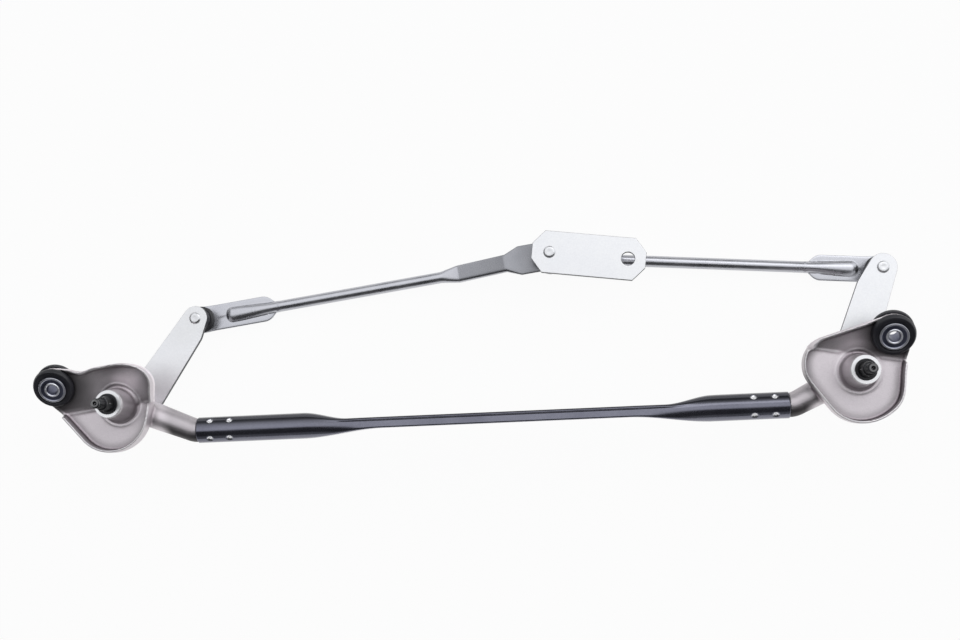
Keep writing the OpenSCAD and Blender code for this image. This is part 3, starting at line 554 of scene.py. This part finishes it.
def broken_edges(shape, width, segments, flat=False):
    """Joins the corners of a CAD shape and rounds its sharp edges; a flat plate gets whole faces first."""
    shape.modifiers.new("joined_faces", "WELD").merge_threshold = 0.00001
    if flat:
        clean = shape.modifiers.new("flat_faces", "DECIMATE")
        clean.decimate_type = "DISSOLVE"
        clean.angle_limit = math.radians(1)
    edge = shape.modifiers.new("broken_edge", "BEVEL")
    edge.width = width
    edge.segments = segments
    edge.limit_method = "ANGLE"
    edge.angle_limit = math.radians(50)
    edge.harden_normals = flat


ring_edge = 0.0002
for side in ("left", "right"):
    for node in ("_top_washer", "_low_washer"):
        broken_edges(dress(side + node, bright_turned), ring_edge, 2)
    broken_edges(dress(side + "_clip", spring_steel), ring_edge, 2)


# Cranks: punched from flat steel bar and zinc plated, riveted on the spindle shoulder.
# The edges are tumbled round and the plating is bright with a soft brushed cloud.
zinc = new_finish("bright_zinc", (0.80, 0.805, 0.82), 0.85, 0.36)
grain(zinc, 1.3, (0.74, 0.745, 0.765), (0.86, 0.865, 0.875), 0.02, 0.3, 0.42)


def shaded_sides(finish, colour):
    """Paints shade on the sides of flat plates, so that they are darker than their faces."""
    tree = finish.node_tree
    place = tree.nodes.new("ShaderNodeTexCoord")
    split = tree.nodes.new("ShaderNodeSeparateXYZ")
    level = tree.nodes.new("ShaderNodeMath")
    level.operation = "ABSOLUTE"
    share = tree.nodes.new("ShaderNodeMapRange")
    share.inputs["From Min"].default_value = 0.45
    share.inputs["From Max"].default_value = 0.95
    share.inputs["To Min"].default_value = 1
    share.inputs["To Max"].default_value = 0
    layer = new_layer(finish)
    layer.inputs["B"].default_value = (*colour, 1)
    tree.links.new(place.outputs["Normal"], split.inputs["Vector"])
    tree.links.new(split.outputs["Z"], level.inputs[0])
    tree.links.new(level.outputs["Value"], share.inputs["Value"])
    tree.links.new(share.outputs["Result"], layer.inputs["Factor"])


# painted shade on the sides of the zinc plates
shaded_sides(zinc, (0.03, 0.031, 0.036))
plate_edge = 0.0009
for side in ("left", "right"):
    broken_edges(dress(side + "_crank", zinc), plate_edge, 3, flat=True)


# Crank ball studs: turned steel pins with a ball, a collar under the crank and a head
# that is riveted over on the front with a shallow dish in the middle.
ball_r, ball_level = 6.5, -93.1
ball_foot, ball_neck, ball_top, ball_steps = -90, -60, 52, 12


def stud_outline(low):
    """Stud from its lower end up to the riveted head, ball centre at height zero."""
    outline = list(low)
    first = ball_neck if len(low) > 1 else ball_foot
    for k in range(1, ball_steps + 1):
        a = math.radians(between(first, ball_top, k / ball_steps))
        outline.append((ball_r * math.cos(a), ball_r * math.sin(a)))
    outline += [(4.0, 5.9), (6.2, 6.1), (6.5, 6.4), (6.5, 8.7), (6.2, 9.0), (4, 9.0), (4, 13.0), (5.0, 13.0),
                (4.9, 13.5), (4.2, 14.15), (3.2, 14.4), (1.6, 14.2), (0.05, 14.1)]
    return outline


balls = {"left": (50.0966, 72.3487, ball_level), "right": (623.9802, 84.9565, ball_level)}
stud_steel = new_finish("stud_steel", (0.70, 0.705, 0.72), 0.9, 0.3)
grain(stud_steel, 0.7, (0.62, 0.625, 0.64), (0.78, 0.785, 0.80), 0.01, 0.24, 0.4)
for side, ball in balls.items():
    stud = turned(side + "_ball_stud", stud_outline([(0.05, -6.5)]), side + "_rocker",
                  Matrix.Translation(ball), closed=False, around=48)
    stud.data.materials.append(stud_steel)
    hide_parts(side + "_crank_stud")


# Pull rods: steel tube with its ends pressed flat into paddles, where the tube runs out
# in a rounded bead. The left rod also steps up to reach the upper ball of the drive stud.
def pressed_rod(name, body, start, heading, stations):
    """Skin over stations of (along, half width, half height, squareness, bead width, bead height, level)."""
    across = 56
    turn = Matrix.Translation((start[0], start[1], 0)) @ Matrix.Rotation(math.radians(heading), 4, "Z")
    points = []
    for s, w, h, square, bead_w, bead_h, level in stations:
        top = []
        for k in range(across + 1):
            y = -w * math.cos(math.pi * k / across)
            skin = h * max(0, 1 - abs(y / w) ** square) ** (1 / square)
            bead = bead_h * math.sqrt(max(0, 1 - (y / bead_w) ** 2)) if bead_w > 0.1 else 0
            top.append((y, (skin ** 12 + bead ** 12) ** (1 / 12)))
        ring = [(y, z) for y, z in top] + [(y, -z) for y, z in top[-2:0:-1]]
        points += [turn @ Vector((s, y, level + z)) for y, z in ring]
    around = 2 * across
    caps = [tuple(range(around - 1, -1, -1)), tuple(range(len(points) - around, len(points)))]
    return new_piece(name, points, ring_faces(len(stations), around) + caps, body, 40)


rod_r, paddle_half, rod_level = 4.8, 1.5, -99.6
bead_r, bead_rise, bead_tip, bead_run = 6.9, 4.1, 6, 11
shoulder_turn, round_from, round_to = math.radians(46), 10, 15
round_section, step_section, flat_section = 2, 5, 9
quarter_turn = [math.radians(7.5 * k) for k in range(13)]


def shoulder(wide, past):
    """Half width of a paddle a distance past its full width: a round shoulder, then a straight slant."""
    if past <= 0:
        return wide
    if past < wide * math.cos(shoulder_turn):
        return math.sqrt(wide ** 2 - past ** 2)
    return max(rod_r, (wide - past * math.cos(shoulder_turn)) / math.sin(shoulder_turn))


def paddle_end(wide, full, bead_from, blunt=11.5):
    """Stations from the round paddle end at the ball to the start of the plain rod."""
    out = []
    for a in quarter_turn:
        w = max(0.5, blunt * math.sin(a))
        out.append((-blunt * math.cos(a), w, paddle_half, flat_section, 0, 0, rod_level))
    steps = [1, 6, 12] + [bead_from + 0.5 * k for k in range(14)]
    steps += [bead_from + 10 + 4 * k for k in range(40)]
    for s in [x for x in steps if x < full - 1] + [full + 0.75 * k for k in range(22)]:
        tip = min(1, max(0, (s - bead_from) / bead_tip))
        round_tip = math.sqrt(1 - (1 - tip) ** 2)
        drawn = ease(bead_from + bead_tip, full + bead_run, s)
        bead_w = round_tip * between(bead_r, rod_r, drawn)
        bead_h = round_tip * between(bead_rise, rod_r, drawn)
        w = max(shoulder(between(blunt, wide, ease(0, 12, s)), s - full), bead_w)
        closed = ease(full + round_from, full + round_to, s)
        section = between(flat_section, round_section, closed)
        out.append((s, w, between(paddle_half, rod_r, closed), section, bead_w, bead_h, rod_level))
    return out


left_length, left_heading = 307.517, 7.034
step_from, inner_from, upper_level = left_length - 95, left_length - 27, -83.5
cone, flare, lift = 15, 11, 1.5
step_half, step_tall, inner_half = 7.3, (4.4, 3.4), 12.2
left_stations = paddle_end(11, 55, 22)
for s in [78 + 20 * k for k in range(7)] + [step_from - 0.5]:
    left_stations.append((s, rod_r, rod_r, round_section, 0, 0, rod_level))
for k in range(1, 9):
    t = k / 8
    left_stations.append((step_from + cone * t, between(rod_r, step_half, t), between(rod_r, step_tall[0], t),
                          between(round_section, step_section, t), 0, 0, rod_level + lift * t))
ramp = inner_from - flare - step_from - cone
for along in [0.7] + [4 * k for k in range(1, int(ramp / 4) + 1)] + [ramp]:
    t = along / ramp
    left_stations.append((step_from + cone + along, step_half, between(*step_tall, t), step_section, 0, 0,
                          between(rod_level + lift, upper_level - lift, t)))
for k in range(1, 15):
    t = k / 14
    left_stations.append((inner_from - flare + (flare + 1) * t, between(step_half, inner_half, t),
                          between(step_tall[1], paddle_half, t), between(step_section, flat_section, t), 0, 0,
                          upper_level - lift * (1 - t)))
for a in quarter_turn:
    s, w = left_length + inner_half * math.sin(a), max(0.5, inner_half * math.cos(a))
    left_stations.append((s, w, paddle_half, flat_section, 0, 0, upper_level))
right_length, right_heading = 269.845, 174.672
right_near, right_far = paddle_end(10.7, 46, 16), paddle_end(11, 46, 16, 14)
right_stations = right_near + [(s, rod_r, rod_r, round_section, 0, 0, rod_level) for s in range(66, 208, 20)]
right_stations += [(right_length - s[0], *s[1:]) for s in right_far[::-1]]

step_darkening, crank_shadow_depth = 0.5, 0.18
grey_steel = new_finish("grey_plating", (0.50, 0.505, 0.54), 0.95, 0.28)
grain(grey_steel, 0.9, (0.45, 0.455, 0.49), (0.57, 0.575, 0.61), 0.02, 0.22, 0.34)
shades(grey_steel, "shade")
for side, start, heading, stations in (("left", balls["left"], left_heading, left_stations),
                                       ("right", balls["right"], right_heading, right_stations)):
    rod = pressed_rod(side + "_pull_rod", side + "_link", start, heading, stations)
    far = Matrix.Rotation(math.radians(-heading), 2)
    along = [(far @ (p.co.xy * 1000 - Vector(start[:2]))).x for p in rod.data.vertices]
    # the left rod gets darker from its step to its inner end
    darker_inward = [ease(step_from - 5, left_length, s) if side == "left" else 0 for s in along]
    # painted shadow of the motor crank on the left rod's inner paddle
    crank_shadow = [ease(left_length - 32, left_length - 10, s) if side == "left" else 0 for s in along]
    store(rod, "shade", [1 - step_darkening * d - crank_shadow_depth * e for d, e in zip(darker_inward, crank_shadow)])
    rod.data.materials.append(grey_steel)
    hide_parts(side + "_rod")


# Ball sockets: moulded black plastic cups pressed through the paddles, with a flange on
# top of the paddle and a snap ring under it. The cup on the lower drive ball is wider.
def ball_arc(r, first, last, step):
    """Points of a ball or its seat from one angle to another, in whole degrees."""
    return [(r * math.cos(math.radians(a)), r * math.sin(math.radians(a))) for a in range(first, last, step)]


seat_r, open_seat_r = 6.55, 9.3
socket_mouth = [(5.4, 4.8), (5.2, 4.0)]
socket_outside = [(9.6, -9.4), (10.3, -8.8), (10.3, -8), (9.3, -8), (9.3, -5), (11.5, -5), (11.5, -3.1),
                  (9.6, -2.7), (9.2, -2.0), (8.9, 3.9), (8.2, 4.8)]
socket_outline = socket_mouth + ball_arc(seat_r, 32, -86, -9) + [(0.6, -6.6), (0.6, -9.4)] + socket_outside
through_outline = socket_mouth + ball_arc(seat_r, 32, -46, -9) + [(4.6, -4.8), (4.6, -9.4)] + socket_outside
cup_outline = [(9.3, 4.8)] + ball_arc(open_seat_r, 0, -86, -8)
cup_outline += [(0.6, -9.35), (0.6, -11.6), (9.6, -11.6), (10.3, -11), (10.3, -8), (9.3, -8), (9.3, -5),
                (11.8, -5), (11.9, 4.2), (11.2, 4.8)]
black_plastic = new_finish("black_moulding", (0.016, 0.016, 0.019), 0.0, 0.38)
grain(black_plastic, 0.5, (0.013, 0.013, 0.016), (0.026, 0.026, 0.03), 0.02, 0.3, 0.46)
drive_stud, upper_ball_level = (355.3, 110.0), -77.0
upper_ball, lower_ball = (*drive_stud, upper_ball_level), (*drive_stud, ball_level)
for name, outline, body, at, node in (
        ("left_outer_cup", socket_outline, "left_link", balls["left"], "left_outer_socket"),
        ("right_outer_cup", socket_outline, "right_link", balls["right"], "right_outer_socket"),
        ("left_inner_ring", through_outline, "left_link", upper_ball, "left_inner_socket"),
        ("right_inner_cup", cup_outline, "right_link", lower_ball, "right_inner_socket")):
    socket = turned(name, soften(outline, 0.25, 2), body, Matrix.Translation(at), around=64)
    socket.data.materials.append(black_plastic)
    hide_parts(node)


# Motor crank: a zinc plated flat bar with cut corners that clamps on the motor shaft.
# A turned stud with two balls, one for each pull rod, is riveted in its other end.
broken_edges(dress("motor_crank", zinc), plate_edge, 3, flat=True)
ball_gap = 16.1
stud_low = [(0.05, -22.6)] + [(r, -ball_gap + z) for r, z in ball_arc(ball_r, -80, 58, 8)]
stud_low += [(3.5, -10.4), (3.5, -5.9)]
double_stud = turned("double_ball_stud", stud_outline(stud_low), "drive_crank",
                     Matrix.Translation(upper_ball), closed=False, around=48)
double_stud.data.materials.append(stud_steel)
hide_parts("drive_stud_pin")


# Studio: a plain pale floor that runs out to a white strip on the horizon, a wide sheet of light
# above and behind the linkage, dim walls, one long soft lamp, and a camera that looks almost
# straight down the spindles.
def combine(tree, kind, first, second):
    """Math node on two sockets, or on a socket and a plain number."""
    node = tree.nodes.new("ShaderNodeMath")
    node.operation = kind
    tree.links.new(first, node.inputs[0])
    if isinstance(second, float):
        node.inputs[1].default_value = second
    else:
        tree.links.new(second, node.inputs[1])
    return node.outputs["Value"]


def seen_rays(tree):
    """Is 1 for what is seen, straight or in metal and glass, and 0 for light that falls on the object."""
    path = tree.nodes.new("ShaderNodeLightPath").outputs
    mirrored = combine(tree, "MAXIMUM", path["Is Glossy Ray"], path["Is Transmission Ray"])
    return combine(tree, "MAXIMUM", path["Is Camera Ray"], mirrored)


floor_half, floor_level, floor_white = 90, -0.107, 0.95
corners = [(x * floor_half, y * floor_half, floor_level) for x, y in ((-1, -1), (1, -1), (1, 1), (-1, 1))]
floor_mesh = bpy.data.meshes.new("floor")
floor_mesh.from_pydata(corners, [], [(0, 1, 2, 3)])
floor = bpy.data.objects.new("floor", floor_mesh)
bpy.context.scene.collection.objects.link(floor)
pale = new_finish("pale_floor", (0.7, 0.7, 0.7), 0.0, 0.9)
floor_tree = pale.node_tree
glow = floor_tree.nodes.new("ShaderNodeEmission")
glow.inputs["Color"].default_value = (1, 1, 1, 1)
blend = floor_tree.nodes.new("ShaderNodeMixShader")
floor_tree.links.new(combine(floor_tree, "MULTIPLY", seen_rays(floor_tree), floor_white), blend.inputs["Fac"])
floor_tree.links.new(floor_tree.nodes["Principled BSDF"].outputs["BSDF"], blend.inputs[1])
floor_tree.links.new(glow.outputs["Emission"], blend.inputs[2])
floor_tree.links.new(blend.outputs["Shader"], floor_tree.nodes["Material Output"].inputs["Surface"])
floor_mesh.materials.append(pale)

world = bpy.data.worlds.new("studio")
bpy.context.scene.world = world
world.use_nodes = True
sky = world.node_tree
place = sky.nodes.new("ShaderNodeTexCoord")
split = sky.nodes.new("ShaderNodeSeparateXYZ")
sky.links.new(place.outputs["Generated"], split.inputs["Vector"])


def soft_edge(axis, dark, bright):
    """Light that grows from dark to bright along one axis of the sky."""
    edge = sky.nodes.new("ShaderNodeMapRange")
    edge.interpolation_type = "SMOOTHSTEP"
    edge.inputs["From Min"].default_value = min(dark, bright)
    edge.inputs["From Max"].default_value = max(dark, bright)
    edge.inputs["To Min"].default_value = 0 if dark < bright else 1
    edge.inputs["To Max"].default_value = 1 if dark < bright else 0
    sky.links.new(split.outputs[axis], edge.inputs["Value"])
    return edge.outputs["Result"]


dim_level, sheet_level, wall_level = 0.03, 1.28, 0.24
front_back = combine(sky, "MULTIPLY", soft_edge("Y", -0.3, -0.03), soft_edge("Y", 1.05, 0.65))
sheet = combine(sky, "MULTIPLY", front_back, soft_edge("X", -0.85, -0.42))
level = sky.nodes.new("ShaderNodeMapRange")
level.inputs["To Min"].default_value = dim_level
level.inputs["To Max"].default_value = sheet_level
sky.links.new(sheet, level.inputs["Value"])
walls = combine(sky, "MULTIPLY", soft_edge("Z", 0.6, 0.35), wall_level)
light = combine(sky, "MAXIMUM", level.outputs["Result"], walls)
strip = combine(sky, "MULTIPLY", seen_rays(sky), soft_edge("Z", 0.05, 0.03))
sky.links.new(combine(sky, "MAXIMUM", light, strip), sky.nodes["Background"].inputs["Strength"])
sky.nodes["Background"].inputs["Color"].default_value = (0.97, 0.98, 1, 1)


def soft_lamp(name, at, aim, size, watts):
    """Large rectangular lamp that points from one place to another; size is its width and height."""
    lamp = bpy.data.lights.new(name, "AREA")
    lamp.shape = "RECTANGLE"
    lamp.size, lamp.size_y = size
    lamp.energy = watts
    holder = bpy.data.objects.new(name, lamp)
    bpy.context.scene.collection.objects.link(holder)
    holder.location = at
    holder.rotation_euler = (Vector(aim) - Vector(at)).to_track_quat("-Z", "Y").to_euler()


soft_lamp("top_lamp", (0.95, 1.0, 1.55), (0.5, 0, -0.04), (1.1, 0.55), 2.5)

lens = bpy.data.cameras.new("camera")
lens.lens = 45
lens.sensor_width = 36
camera = bpy.data.objects.new("camera", lens)
bpy.context.scene.collection.objects.link(camera)
right = Vector((0.9942, -0.0417, -0.0991)).normalized()
back = Vector((0.0949, -0.0929, 0.9911)).normalized()
up = back.cross(right).normalized()
right = up.cross(back)
camera_at = (0.3893, -0.0346, 0.9115)
camera.matrix_world = Matrix.Translation(camera_at) @ Matrix((right, up, back)).transposed().to_4x4()
bpy.context.scene.camera = camera
bpy.context.scene.view_settings.view_transform = "Standard"
